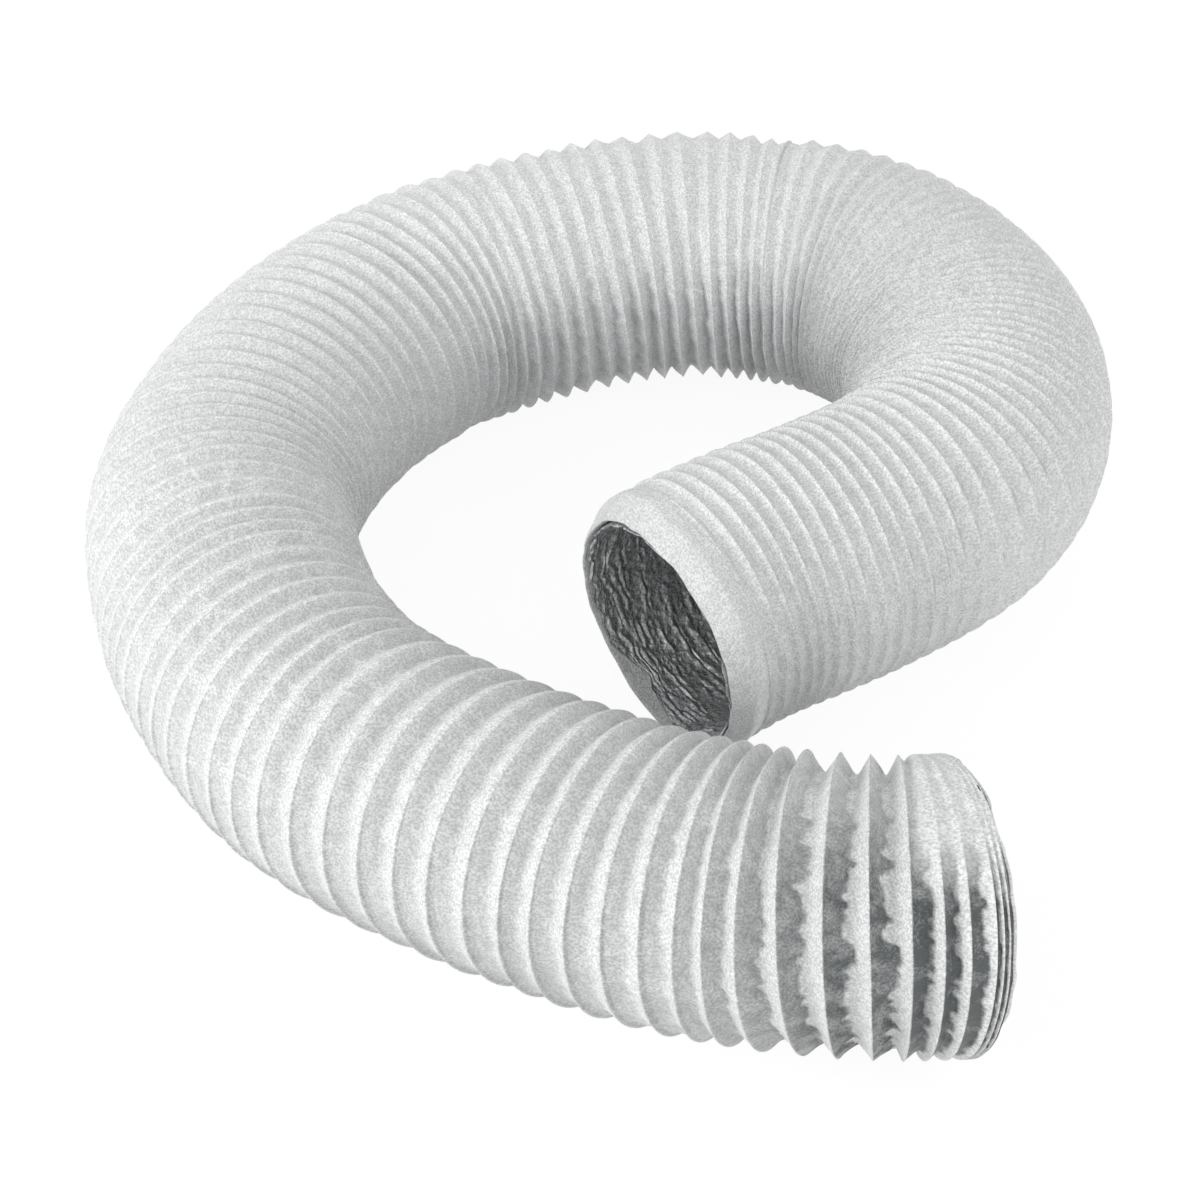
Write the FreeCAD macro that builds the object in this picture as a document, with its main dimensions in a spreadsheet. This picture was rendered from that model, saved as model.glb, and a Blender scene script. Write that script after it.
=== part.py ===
import FreeCAD, Part
import math
import os

# Flexible air duct: a round hose that lies on the floor in a loop, open at both ends.
# All lengths are in millimetres and all angles in degrees. The floor is z = 0.
# The hose is cut into stretches along its centre line so that it can stretch and bend:
# each stretch has its own piece of ribbed outer sheath and its own piece of inner liner.

# Driving sizes: alias, value, what it is.
SIZES = [
    ("bore_radius", 62.5, "inside radius of the cuffs, for a nominal 125 spigot"),
    ("rib_stand", 3.5, "how far the top of a rib stands out from the bore of the cuffs"),
    ("floor_flat", 0.5, "depth by which the ribs are pressed flat where they stand"),
    ("rib_height", 8.5, "height of the deepest ribs, those of the front run"),
    ("crest_land", 1.6, "width of the top of a rib, rounded by the wire inside it"),
    ("valley_land", 0.5, "width of the bottom between two ribs"),
    ("film", 0.7, "wall of the sheath in the valleys"),
    ("wire_bead", 1.2, "extra wall in a crest, where the wire is bonded in"),
    ("packed_rise", 0.4, "largest inside rib height as a share of the pitch"),
    ("liner_wall", 0.4, "wall of the inner liner"),
    ("clearance", 0.1, "gap between two pieces that lie against each other"),
    ("cuff_inner_wall", 0.7, "wall of the part of the cuff that is folded inwards"),
    ("cuff_lip", 0.9, "thickness of the fold at the rim"),
    ("wire_diameter", 1.2, "thickness of the spring wire"),
    ("wire_open_angle", 345.0, "how far round the last turn of wire goes"),
    ("collar_slope", 2.0, "length over which the collar drops into the first valley"),
    ("mouth_cuff_length", 22.0, "length of the cuff at the mouth"),
    ("mouth_collar", 12.0, "length of sheath held under the mouth cuff"),
    ("mouth_sleeve", 12.0, "length of the inward fold at the mouth"),
    ("front_cuff_length", 12.0, "length of the cuff at the front end"),
    ("front_collar", 6.0, "length of sheath held under the front cuff"),
    ("front_sleeve", 10.0, "length of the inward fold at the front end"),
    ("liner_setback", 1.0, "distance from the inward fold to the end of the liner"),
    ("start_heading", -188.0, "direction of the route where it leaves the front rim"),
]

# The route from the front rim to the mouth: stretch, length, turn to the right, ribs, and
# how high its ribs are as a share of the deepest.
STRETCHES = [
    ("front_turns", 25.0, 0, 2, 0.7),
    ("front_end", 16.0, 0, 1, 1.0),
    ("front_pull", 91.0, 0, 6, 0.95),
    ("front_middle", 34.0, 14, 2, 0.45),
    ("front_lift", 105.0, 9, 7, 0.4),
    ("front_root", 45.0, 18, 3, 0.35),
    ("front_bend", 110.0, 28, 10, 0.35),
    ("left_run", 54.0, 29, 6, 0.3),
    ("left_bend", 120.0, 29, 12, 0.35),
    ("back_near_left", 66.0, 21, 6, 0.55),
    ("back_near_right", 66.0, 11, 6, 0.65),
    ("right_bend", 120.0, 28, 12, 0.5),
    ("right_run_back", 70.0, 40, 10, 0.35),
    ("right_run_side", 78.0, 46, 13, 0.3),
    ("right_run_front", 77.0, 46, 11, 0.35),
    ("mouth_lift", 85.0, 0, 10, 0.4),
    ("mouth_end", 59.0, 0, 5, 0.3),
]
NAMES = [stretch[0] for stretch in STRETCHES]

# The stretch whose first rib stands over the origin.
ORIGIN_STRETCH = "back_near_right"

# Small allowance on tools so that no cut ends exactly on a face.
OVERSHOOT = 1.0

os.makedirs("parts", exist_ok=True)
doc = FreeCAD.newDocument("AirDuct")
sheet = doc.addObject("Spreadsheet::Sheet", "Sizes")


def write_sheet():
    """Put every driving size into the sheet under its own alias."""
    rows = [(name, value) for name, value, _ in SIZES]
    for name, length, turn, ribs, height in STRETCHES:
        rows.append((name + "_length", length))
        rows.append((name + "_turn", turn))
        rows.append((name + "_ribs", ribs))
        rows.append((name + "_height", height))
    for row, (name, value) in enumerate(rows, start=1):
        sheet.set("A%d" % row, name)
        sheet.set("B%d" % row, str(value))
        sheet.setAlias("B%d" % row, name)
    doc.recompute()


def size(name):
    """The value of one driving size, read back from the sheet."""
    return float(getattr(sheet, name))


write_sheet()

# Radii that follow from the driving sizes.
crest_radius = size("bore_radius") + size("rib_stand")
centre_height = crest_radius - size("floor_flat")
crest_bore = crest_radius - size("film") - size("wire_bead")
collar_bore = size("bore_radius") + size("cuff_inner_wall") + size("clearance")
collar_radius = collar_bore + size("wire_diameter")


def step_along(x, y, heading, distance, turn):
    """The point and heading after going a distance along an arc to the right."""
    middle = math.radians(heading - turn / 2.0)
    half = math.radians(turn / 2.0)
    chord = distance
    if turn:
        chord = distance * math.sin(half) / half
    return x + chord * math.cos(middle), y + chord * math.sin(middle), heading - turn


def lay_out_route():
    """Where each stretch begins and ends, with the origin under the chosen rib."""
    x, y, heading = 0.0, 0.0, size("start_heading")
    starts = {}
    for name in NAMES:
        starts[name] = (x, y, heading)
        x, y, heading = step_along(x, y, heading, size(name + "_length"), size(name + "_turn"))
    ox, oy, _ = along(starts, ORIGIN_STRETCH, rib_pitch(ORIGIN_STRETCH) / 2.0)
    return {name: (sx - ox, sy - oy, sh) for name, (sx, sy, sh) in starts.items()}


def rib_pitch(name):
    """Distance between two ribs of a stretch."""
    return ribbed_length(name) / size(name + "_ribs")


def ribbed_length(name):
    """Length of a stretch that carries ribs: the end stretches also hold a cuff."""
    length = size(name + "_length")
    if name == "front_turns":
        length -= size("front_cuff_length") + size("collar_slope")
    if name == "mouth_end":
        length -= size("mouth_cuff_length") + size("collar_slope")
    return length


def along(starts, name, distance):
    """Point and heading at a distance from the start of a stretch."""
    x, y, heading = starts[name]
    turn = size(name + "_turn") * distance / size(name + "_length")
    return step_along(x, y, heading, distance, turn)


route = lay_out_route()


def frame_at(name, distance, backwards=False):
    """Placement on the centre line: local Z along the route, local X straight up."""
    x, y, heading = along(route, name, distance)
    if backwards:
        heading += 180.0
    ahead = FreeCAD.Vector(math.cos(math.radians(heading)), math.sin(math.radians(heading)), 0)
    up = FreeCAD.Vector(0, 0, 1)
    turned = FreeCAD.Rotation(up, ahead.cross(up), ahead, "ZXY")
    return FreeCAD.Placement(FreeCAD.Vector(x, y, centre_height), turned)


def circle_at(name, distance, radius):
    """A circle square to the route, its start point at the top."""
    ring = Part.Wire([Part.makeCircle(radius)])
    ring.Placement = frame_at(name, distance)
    return ring


def ruled_skin(name, rings):
    """The faces between circles given as distance and radius, in order, open at both ends."""
    circles = [circle_at(name, distance, radius) for distance, radius in rings]
    return Part.makeLoft(circles, False, True).Faces


def end_face(name, outer_ring, inner_ring):
    """The flat ring that closes a wall at one end. Its hole runs the other way round."""
    hole = circle_at(name, *inner_ring)
    hole.reverse()
    return Part.Face([circle_at(name, *outer_ring), hole])


def ruled_wall(name, outside, inside):
    """One solid between an outer and an inner row of circles."""
    faces = ruled_skin(name, outside) + ruled_skin(name, inside)
    faces.append(end_face(name, outside[0], inside[0]))
    faces.append(end_face(name, outside[-1], inside[-1]))
    shell = Part.makeShell(faces)
    shell.sewShape()
    return Part.makeSolid(shell)


def valley_radii(name):
    """Outside radius of each valley of a stretch. It shares its first and last valley with
    the stretches beside it, at the mean of the two rib heights."""
    index = NAMES.index(name)
    before = NAMES[max(index - 1, 0)]
    after = NAMES[min(index + 1, len(NAMES) - 1)]
    shares = [size(name + "_height")] * (int(size(name + "_ribs")) + 1)
    shares[0] = (shares[0] + size(before + "_height")) / 2.0
    shares[-1] = (size(name + "_height") + size(after + "_height")) / 2.0
    return [crest_radius - share * size("rib_height") for share in shares]


def rib_rings(name, first):
    """Outside circles of a row of ribs: two in each valley end and two on each crest."""
    half_valley = size("valley_land") / 2.0
    half_crest = size("crest_land") / 2.0
    pitch = rib_pitch(name)
    valleys = valley_radii(name)
    rings = [(first, valleys[0])]
    for index in range(len(valleys) - 1):
        start = first + index * pitch
        middle = start + pitch / 2.0
        rings.append((start + half_valley, valleys[index]))
        rings.append((middle - half_crest, crest_radius))
        rings.append((middle + half_crest, crest_radius))
        rings.append((start + pitch - half_valley, valleys[index + 1]))
    return rings + [(first + ribbed_length(name), valleys[-1])]


def bore_rings(name, first):
    """Inside circles of a row of ribs: one in each valley and one under each crest."""
    pitch = rib_pitch(name)
    bores = [radius - size("film") for radius in valley_radii(name)]
    rings = [(first, bores[0])]
    for index in range(len(bores) - 1):
        lower = min(bores[index], bores[index + 1])
        under_crest = min(crest_bore, lower + size("packed_rise") * pitch)
        rings.append((first + (index + 0.5) * pitch, under_crest))
        rings.append((first + (index + 1.0) * pitch, bores[index + 1]))
    return rings


def sheath_solid(name):
    """Ribbed sheath of one stretch, hollow, pressed flat where it stands."""
    length = size(name + "_length")
    slope = size("collar_slope")
    first = length - ribbed_length(name) if name == "front_turns" else 0.0
    outside = rib_rings(name, first)
    inside = bore_rings(name, first)
    if name == "front_turns":
        held = first - slope
        start = held - size("front_collar")
        outside = [(start, collar_radius), (held, collar_radius)] + outside
        inside = [(start, collar_bore), (held, collar_bore)] + inside
    if name == "mouth_end":
        held = ribbed_length(name) + slope
        end = held + size("mouth_collar")
        outside += [(held, collar_radius), (end, collar_radius)]
        inside += [(held, collar_bore), (end, collar_bore)]
    wall = ruled_wall(name, outside, inside)
    reach = 4.0 * crest_radius
    x, y, _ = along(route, name, length / 2.0)
    corner = FreeCAD.Vector(x - reach, y - reach, -reach)
    return wall.cut(Part.makeBox(2.0 * reach, 2.0 * reach, reach, corner))


def add_sheath(name):
    """Sheath of one stretch. Its shape is set in code and lies at its place already."""
    piece = doc.addObject("Part::Feature", "sheath_" + name)
    piece.Shape = sheath_solid(name)
    piece.Placement = FreeCAD.Placement()
    return piece


def bind(piece, **sizes):
    """Tie sizes of an object to expressions on the sheet."""
    for field, expression in sizes.items():
        piece.setExpression(field, expression)
    return piece


def cylinder(name, radius, height):
    """A cylinder bound to the sheet, standing on the origin."""
    return bind(doc.addObject("Part::Cylinder", name), Radius=radius, Height=height)


def cut(name, base, tool):
    """The base without the tool."""
    piece = doc.addObject("Part::Cut", name)
    piece.Base = base
    piece.Tool = tool
    return piece


def tube(name, outer, inner, height):
    """A round tube bound to the sheet."""
    return cut(name, cylinder(name + "_outside", outer, height), cylinder(name + "_bore", inner, height))


CREST_RADIUS = "Sizes.bore_radius + Sizes.rib_stand"
LINER_OUTER = CREST_RADIUS + " - Sizes.rib_height - Sizes.film - Sizes.clearance"
LINER_INNER = LINER_OUTER + " - Sizes.liner_wall"


def straight_liner(name):
    """Liner of a straight stretch, short of the fold where the stretch holds a cuff."""
    setback = 0.0
    height = "Sizes.%s_length" % name
    if name == "front_turns":
        setback = size("front_sleeve") + size("liner_setback")
        height += " - Sizes.front_sleeve - Sizes.liner_setback"
    if name == "mouth_end":
        height += " - Sizes.mouth_sleeve - Sizes.liner_setback"
    piece = tube("liner_" + name, LINER_OUTER, LINER_INNER, height)
    piece.Placement = frame_at(name, setback)
    return piece


def curved_liner(name):
    """Liner of a curved stretch: a piece of a ring, swept back from the stretch's end."""
    bend_radius = "Sizes.{0}_length / (Sizes.{0}_turn * pi / 180)".format(name)
    solids = []
    for suffix, radius in (("_outside", LINER_OUTER), ("_bore", LINER_INNER)):
        ring = doc.addObject("Part::Torus", "liner_" + name + suffix)
        bind(ring, Radius1=bend_radius, Radius2=radius, Angle3="Sizes.%s_turn" % name)
        solids.append(ring)
    piece = cut("liner_" + name, *solids)
    radius = size(name + "_length") / math.radians(size(name + "_turn"))
    x, y, heading = along(route, name, size(name + "_length"))
    to_right = math.radians(heading - 90.0)
    centre = FreeCAD.Vector(x + radius * math.cos(to_right), y + radius * math.sin(to_right), centre_height)
    piece.Placement = FreeCAD.Placement(centre, FreeCAD.Rotation(FreeCAD.Vector(0, 0, 1), heading + 90.0))
    return piece


def add_liner(name):
    """Liner of one stretch."""
    if size(name + "_turn"):
        return curved_liner(name)
    return straight_liner(name)


def add_cuff(end, stretch, distance, backwards):
    """Folded cuff: an outer sleeve, a lip at the rim and a shorter inner sleeve."""
    length = "Sizes.%s_cuff_length" % end
    outer = CREST_RADIUS + " - Sizes.floor_flat"
    inner_sleeve = "Sizes.bore_radius + Sizes.cuff_inner_wall"
    channel = inner_sleeve + " + 2 * Sizes.clearance + Sizes.wire_diameter"
    body = tube(end + "_cuff_body", outer, "Sizes.bore_radius", length)
    groove = tube(end + "_cuff_groove", channel, inner_sleeve, length + " - Sizes.cuff_lip")
    folded = cut(end + "_cuff_folded", body, groove)
    trim = cylinder(end + "_cuff_trim", channel, length + " - Sizes.%s_sleeve" % end)
    piece = cut(end + "_cuff", folded, trim)
    piece.Placement = frame_at(stretch, distance, backwards)
    return piece


def add_wire_end(end, stretch, distance, backwards):
    """Last turn of the spring wire, an open ring lying in the groove of the cuff."""
    piece = doc.addObject("Part::Torus", end + "_wire_end")
    bind(
        piece,
        Radius1="Sizes.bore_radius + Sizes.cuff_inner_wall + Sizes.clearance + Sizes.wire_diameter / 2",
        Radius2="Sizes.wire_diameter / 2",
        Angle3="Sizes.wire_open_angle",
    )
    piece.Placement = frame_at(stretch, distance, backwards)
    return piece


def add_end(end, stretch, backwards):
    """Cuff and wire end of one end of the hose."""
    cuff_length = size(end + "_cuff_length")
    cuff_base = cuff_length if backwards else size(stretch + "_length") - cuff_length
    wire_middle = (size(end + "_collar") + cuff_length - size("cuff_lip")) / 2.0
    wire_at = cuff_base - wire_middle if backwards else cuff_base + wire_middle
    return [
        add_cuff(end, stretch, cuff_base, backwards),
        add_wire_end(end, stretch, wire_at, backwards),
    ]


pieces = []
for stretch in NAMES:
    pieces.append(add_sheath(stretch))
    pieces.append(add_liner(stretch))
pieces += add_end("front", "front_turns", True)
pieces += add_end("mouth", "mouth_end", False)
doc.recompute()

for item in doc.Objects:
    if "Invalid" in item.State or "Error" in item.State:
        raise RuntimeError("%s did not compute: %s" % (item.Label, item.State))

for piece in pieces:
    shape = piece.Shape
    if shape.isNull() or not shape.isValid() or len(shape.Solids) != 1:
        raise RuntimeError("%s is not one sound solid" % piece.Label)
    shape.exportStep("parts/%s.step" % piece.Label)

print("pieces written: %d" % len(pieces))
for stretch in NAMES:
    print("%s starts at %.3f, %.3f and heads %.1f" % (stretch, *route[stretch]))
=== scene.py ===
"""Looks of a flexible air duct: a ribbed white film hose with a crinkled foil liner, lying in a loop.

The hose is one surface, a circle carried along a route on the floor. It is cut where no joint bends it, so that each
length spans one joint at most.
"""

import bpy
import numpy as np
from bpy.props import FloatProperty, FloatVectorProperty, IntProperty, PointerProperty
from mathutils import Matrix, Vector


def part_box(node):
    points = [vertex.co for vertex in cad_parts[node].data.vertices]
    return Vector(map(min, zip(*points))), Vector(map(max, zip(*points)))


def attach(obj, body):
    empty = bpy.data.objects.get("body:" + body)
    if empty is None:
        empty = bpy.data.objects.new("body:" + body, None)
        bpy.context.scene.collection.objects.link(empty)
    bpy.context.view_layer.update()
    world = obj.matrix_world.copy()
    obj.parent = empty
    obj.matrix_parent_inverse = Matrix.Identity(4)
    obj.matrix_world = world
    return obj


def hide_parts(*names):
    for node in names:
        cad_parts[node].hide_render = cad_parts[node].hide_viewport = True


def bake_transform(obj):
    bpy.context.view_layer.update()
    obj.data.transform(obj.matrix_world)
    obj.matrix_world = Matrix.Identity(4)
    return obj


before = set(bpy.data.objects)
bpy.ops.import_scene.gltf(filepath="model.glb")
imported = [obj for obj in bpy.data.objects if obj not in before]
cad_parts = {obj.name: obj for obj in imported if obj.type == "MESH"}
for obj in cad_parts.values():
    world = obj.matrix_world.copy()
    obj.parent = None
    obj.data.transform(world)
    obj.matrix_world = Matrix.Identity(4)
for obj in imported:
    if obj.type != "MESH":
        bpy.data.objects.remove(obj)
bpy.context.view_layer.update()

bl_info = {
    "name": "Flexible Air Duct",
    "version": (1, 0, 0),
    "blender": (4, 5, 0),
    "location": "View3D > Sidebar > Air Duct",
    "description": "Builds the film, foil and folded ends of a flexible air duct",
    "category": "Object",
}

MM = 0.001

# Radius over the ribs in millimetres, for which the tables below are set.
RIB_RADIUS = 66

# The route

# Each stretch of the hose from the front rim to the mouth: name, length and turn to the right in degrees.
STRETCHES = (
    ("front_turns", 25 * MM, 4.0),
    ("front_end", 16 * MM, 3.0),
    ("front_pull", 91 * MM, 15.2),
    ("front_middle", 34 * MM, 2.8),
    ("front_lift", 105 * MM, 11.5),
    ("front_root", 45 * MM, 18.0),
    ("front_bend", 110 * MM, 28.5),
    ("left_run", 54 * MM, 28.0),
    ("left_bend", 120 * MM, 31.0),
    ("back_near_left", 66 * MM, 19.0),
    ("back_near_right", 66 * MM, 8.0),
    ("right_bend", 120 * MM, 33.5),
    ("right_run_back", 70 * MM, 34.5),
    ("right_run_side", 78 * MM, 46.0),
    ("right_run_front", 77 * MM, 46.0),
    ("mouth_lift", 85 * MM, 10.5),
    ("mouth_end", 67 * MM, -19.0),
)
FRONT_RIM = (0.2182, -0.3917)
FRONT_HEADING = -175.7
TURN_EASE = 40 * MM

# The ribs: number of a rib and its distance from the front rim in millimetres. Those between two entries are evenly
# spaced.
RIBS = (
    (0, 0), (1, 1.5), (2, 3.1), (3, 5), (4, 11.5), (5, 17), (6, 25), (7, 38), (8, 51.5), (9, 66.5), (10, 80.5),
    (11, 92.7), (12, 102), (13, 114.5), (15, 140.5), (16, 154.5), (17, 167.5), (19, 196.5), (21, 227), (24, 276),
    (26, 299.5), (28, 326.7), (31, 363.7), (34, 390), (37, 425), (39, 445.3), (42, 470.8), (45, 501.7), (48, 534.2),
    (51, 568.3), (53, 593.3), (56, 623.3), (59, 657), (62, 692), (65, 729.2), (68, 766.7), (70, 793.3), (72, 814.2),
    (74, 830.8), (77, 861.7), (80, 887.5), (83, 910), (87, 935), (97, 989), (102, 1018), (105, 1040), (108, 1063),
    (110, 1080.8), (114, 1115), (119, 1155.8), (122, 1181.7), (125, 1208), (127, 1229),
)

# Rib height in millimetres, by distance from the front rim.
HEIGHT = (
    (0, 2.2), (5, 3.0), (8, 4.0), (12, 5.4), (18, 8.0), (26, 9.5), (66, 9.5), (80, 7.0), (100, 4.6), (200, 3.4),
    (280, 2.8), (350, 2.3), (420, 2.1), (500, 2.4), (560, 3.0), (620, 3.9), (680, 5.2), (740, 6.0), (810, 6.0),
    (850, 4.2), (890, 2.8), (950, 2.0), (1020, 2.4), (1080, 3.0), (1130, 3.4), (1195, 2.8), (1229, 1.0),
)

# Share of a rib over which the film falls from its wire, and share over which it rises to the next one.
FALL = (
    (0, 0.45), (66, 0.45), (100, 0.38), (300, 0.35), (420, 0.4), (560, 0.45), (700, 0.5), (860, 0.5), (1000, 0.28),
)
RISE = (
    (0, 0.55), (66, 0.55), (85, 0.3), (120, 0.15), (300, 0.12), (420, 0.18), (560, 0.4), (700, 0.5), (860, 0.5),
    (1000, 0.24),
)

# Share of a rib painted in the ridge colour, as painted light on the wire and its lit side, from its wire on: more
# towards the next wire where the hose is drawn out, and as much on both sides of the wire elsewhere.
PAINTED_LIGHT_SHARE = ((0, 0.3), (20, 0.32), (30, 0.42), (66, 0.42), (100, 0.3), (300, 0.2), (420, 0.14), (560, 0.1), (1229, 0.1))
PAINTED_LIGHT_SHARE_BEFORE = ((0, 0.03), (300, 0.03), (420, 0.08), (560, 0.12), (1229, 0.12))

# How far the film is crumpled, from 0 smooth to 1 badly creased.
CRUMPLE = (
    (0, 1.0), (90, 1.0), (140, 0.8), (300, 0.65), (400, 0.5), (500, 0.35), (600, 0.5), (680, 0.9), (810, 0.9),
    (890, 0.45), (990, 0.35), (1060, 0.6), (1150, 0.6), (1221, 0.5),
)

# How much painted dark shade lies in the valleys between the wires, from 0 to 1.
PAINTED_DARK_AMOUNT = ((0, 0.2), (60, 0.2), (250, 0.17), (340, 0.14), (420, 0.07), (520, 0.03), (620, 0), (1229, 0))

# How uneven the ribs are in height, in millimetres.
UNEVEN = ((0, 0.5), (560, 0.6), (640, 2.0), (830, 2.0), (880, 0.7), (1221, 0.5))

# Parts of the hose with a look of their own, in millimetres: where the part begins, over what length its look sets
# in, where it ends, and over what length before that the look fades.
PLUMP_PART = (70, 50, 620, 100)
# Painted gloss: patches on this part are painted paler, as if they shone.
PAINTED_GLOSS_PART = (230, 40, 450, 50)
# On the back part the level side is painted paler, as if lit more, and a narrow painted shadow runs low down.
BACK_PART = (600, 60, 880, 50)
# On the right part the inner side is painted paler, as if lit more.
RIGHT_PART = (840, 40, 1010, 60)

# How far the top of a rib, and its side on the right of travel, lie ahead of its middle, in millimetres.
TOP_AHEAD = (
    (0, -9), (9, -6), (18, -1), (25, 2), (50, 9), (66, 12), (80, 11), (170, 10), (230, 13), (300, 12), (350, 9),
    (440, 11), (530, 10), (590, 6), (620, 6), (680, 0), (740, -5), (890, -6), (950, -3), (1010, -5), (1070, -7),
    (1100, -4), (1229, -2),
)
SIDE_AHEAD = (
    (0, 8), (9, 6), (18, -1), (25, -4), (50, -7), (66, -6), (80, -7.5), (110, -9), (140, -12), (200, -14), (260, -12),
    (300, -6), (350, 1), (410, 3), (530, 5), (590, 10), (620, 10), (650, 4), (680, -1), (710, -3), (740, -2), (830, 0),
    (890, -5), (950, -5), (1010, -1), (1070, 1), (1100, -1), (1160, 3), (1190, 0), (1229, -10),
)

# Folded ends: corners of the profile, from under the film over the rim and in, as (back from the rim, radius).
MOUTH_LIP = (
    (24, 63.4), (21, 64.6), (17, 65.5), (13, 66.0), (10.8, 65.9), (9.8, 65.0), (5, 61.6), (1.2, 59.2), (0.2, 58.0),
    (0.6, 57.3), (3, 57.0), (18, 57.0),
)
FRONT_LIP = (
    (1.2, 64.8), (0.4, 65.2), (-0.1, 64.7), (-0.2, 63.8), (0.3, 62.8), (2, 62.0), (6, 60.4), (10, 58.4), (13, 57.0),
)

# Last turns of wire in the folds, as (back from the rim, radius).
FRONT_WIRE = (2.6, 64.0)
MOUTH_WIRE = (9.0, 61.0)

# The camera of the photograph, fitted to the outline of the hose.
CAMERA_AT = (0.0641, -0.9999, 0.9796)
CAMERA_SEES = (0.0641, -0.2178, 0.0655)
LENS = 75.5

# Lamps: name, place, size and power. They all look at one point in the middle of the loop.
LAMPS = (
    ("key", (-1.7, -0.8, 1.0), 1.2, 22.0),
    ("fill", (1.3, -1.4, 1.1), 1.8, 8.0),
    ("back", (0.3, 1.5, 1.1), 1.4, 5.0),
)
LAMPS_SEE = (0.064, -0.218, 0.03)

# Strength of the light that the room gives from all sides.
ROOM_LIGHT = 0.62

# Distance between the points of the centre line.
STEP = 0.5 * MM

# Cells of a noise lattice along the hose, before it starts again.
LATTICE_ROWS = 4096

# How far the rows of a rib are drawn towards its wires, and how near to an end of a length no other row may lie, both
# in ribs.
GATHER = 0.08
END_GAP = 0.02

# Distance between the rows of a hidden wall, and how far the foil's hidden wall lies inside that of the film.
HIDDEN_ROW = 6 * MM
WALL_GAP = 0.1 * MM

# The foil: where it begins behind the front fold, the distance between its rings, and between its rows, which are
# finer where it is seen.
FOIL_START = 10.5 * MM
FOIL_RING = 3.8 * MM
FOIL_ROW = 3.0 * MM
FINE_FOIL_ROWS = {"front": 1.0 * MM, "mouth": 0.7 * MM}

# Points along the profile of a fold, along a turn of wire and round the wire, and the share of a turn by which a wire
# end stops short of the top.
LIP_POINTS = 84
WIRE_POINTS = 120
WIRE_SIDES = 10
WIRE_GAP = 0.02


def ease(values, window):
    """Running mean with a raised-cosine weight, so that corners in a row of values become smooth."""
    half = max(1, int(round(window / STEP / 2)))
    weight = 0.5 + 0.5 * np.cos(np.linspace(-np.pi, np.pi, 2 * half + 1))
    padded = np.pad(values, half, mode="edge")
    return np.convolve(padded, weight / weight.sum(), mode="valid")


def along(table, distance):
    """Value of a table in millimetres at distances in metres, in straight lines between its entries."""
    at, value = np.array(table, float).T
    return np.interp(distance, at * MM, value)


class Route:
    """Centre line of the hose on the floor: heading is the running sum of the eased curvature, and the place is the
    running sum of the heading's unit vector."""

    def __init__(self, height):
        self.ends = np.cumsum([0.0] + [length for _, length, _ in STRETCHES])
        self.names = [name for name, _, _ in STRETCHES]
        self.length = self.ends[-1]
        self.distance = np.arange(0, self.length + STEP / 2, STEP)
        turn = np.radians([turn for _, _, turn in STRETCHES]) / np.array([length for _, length, _ in STRETCHES])
        index = np.clip(np.searchsorted(self.ends, self.distance, side="right") - 1, 0, len(turn) - 1)
        self.curve = ease(turn[index], TURN_EASE)
        steps = (self.curve[1:] + self.curve[:-1]) / 2 * STEP
        self.heading = np.radians(FRONT_HEADING) - np.concatenate([[0.0], np.cumsum(steps)])
        middle = (self.heading[1:] + self.heading[:-1]) / 2
        self.x = FRONT_RIM[0] + np.concatenate([[0.0], np.cumsum(np.cos(middle))]) * STEP
        self.y = FRONT_RIM[1] + np.concatenate([[0.0], np.cumsum(np.sin(middle))]) * STEP
        self.number, self.ring = np.array(RIBS, float).T * np.array([[1.0], [MM]])
        self.height = height

    def at(self, distance):
        """Points of the centre line and the heading there. Past the ends the line runs straight on."""
        inside = np.clip(distance, 0, self.length)
        heading = np.interp(inside, self.distance, self.heading)
        past = distance - inside
        x = np.interp(inside, self.distance, self.x) + past * np.cos(heading)
        y = np.interp(inside, self.distance, self.y) + past * np.sin(heading)
        return x, y, heading

    def reach(self, name, share=0.0):
        """Distance from the front rim to a share of the way along a stretch."""
        index = self.names.index(name)
        return self.ends[index] + share * (self.ends[index + 1] - self.ends[index])

    def rib_at(self, distance):
        """Rib number, counted as a real number, at a distance."""
        return np.interp(distance, self.ring, self.number)

    def distance_of(self, rib):
        """Distance at a rib number. Past the ends the ribs stay as far apart as there."""
        inside = np.clip(rib, self.number[0], self.number[-1])
        first = (self.ring[1] - self.ring[0]) / (self.number[1] - self.number[0])
        last = (self.ring[-1] - self.ring[-2]) / (self.number[-1] - self.number[-2])
        past = rib - inside
        return np.interp(inside, self.number, self.ring) + past * np.where(past < 0, first, last)

    def spacing_at(self, rib):
        """Length of the rib about a rib number."""
        return self.distance_of(rib + 0.5) - self.distance_of(rib - 0.5)

    def point(self, distance):
        """One point of the centre line, for a joint's bend."""
        x, y, _ = self.at(np.array(distance))
        return (float(x), float(y), self.height)


# Noise


def lattice(rows, around, seed):
    """Random values from -1 to 1 on a grid that closes on itself in the second direction."""
    return np.random.default_rng(seed).uniform(-1, 1, (rows, around))


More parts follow.
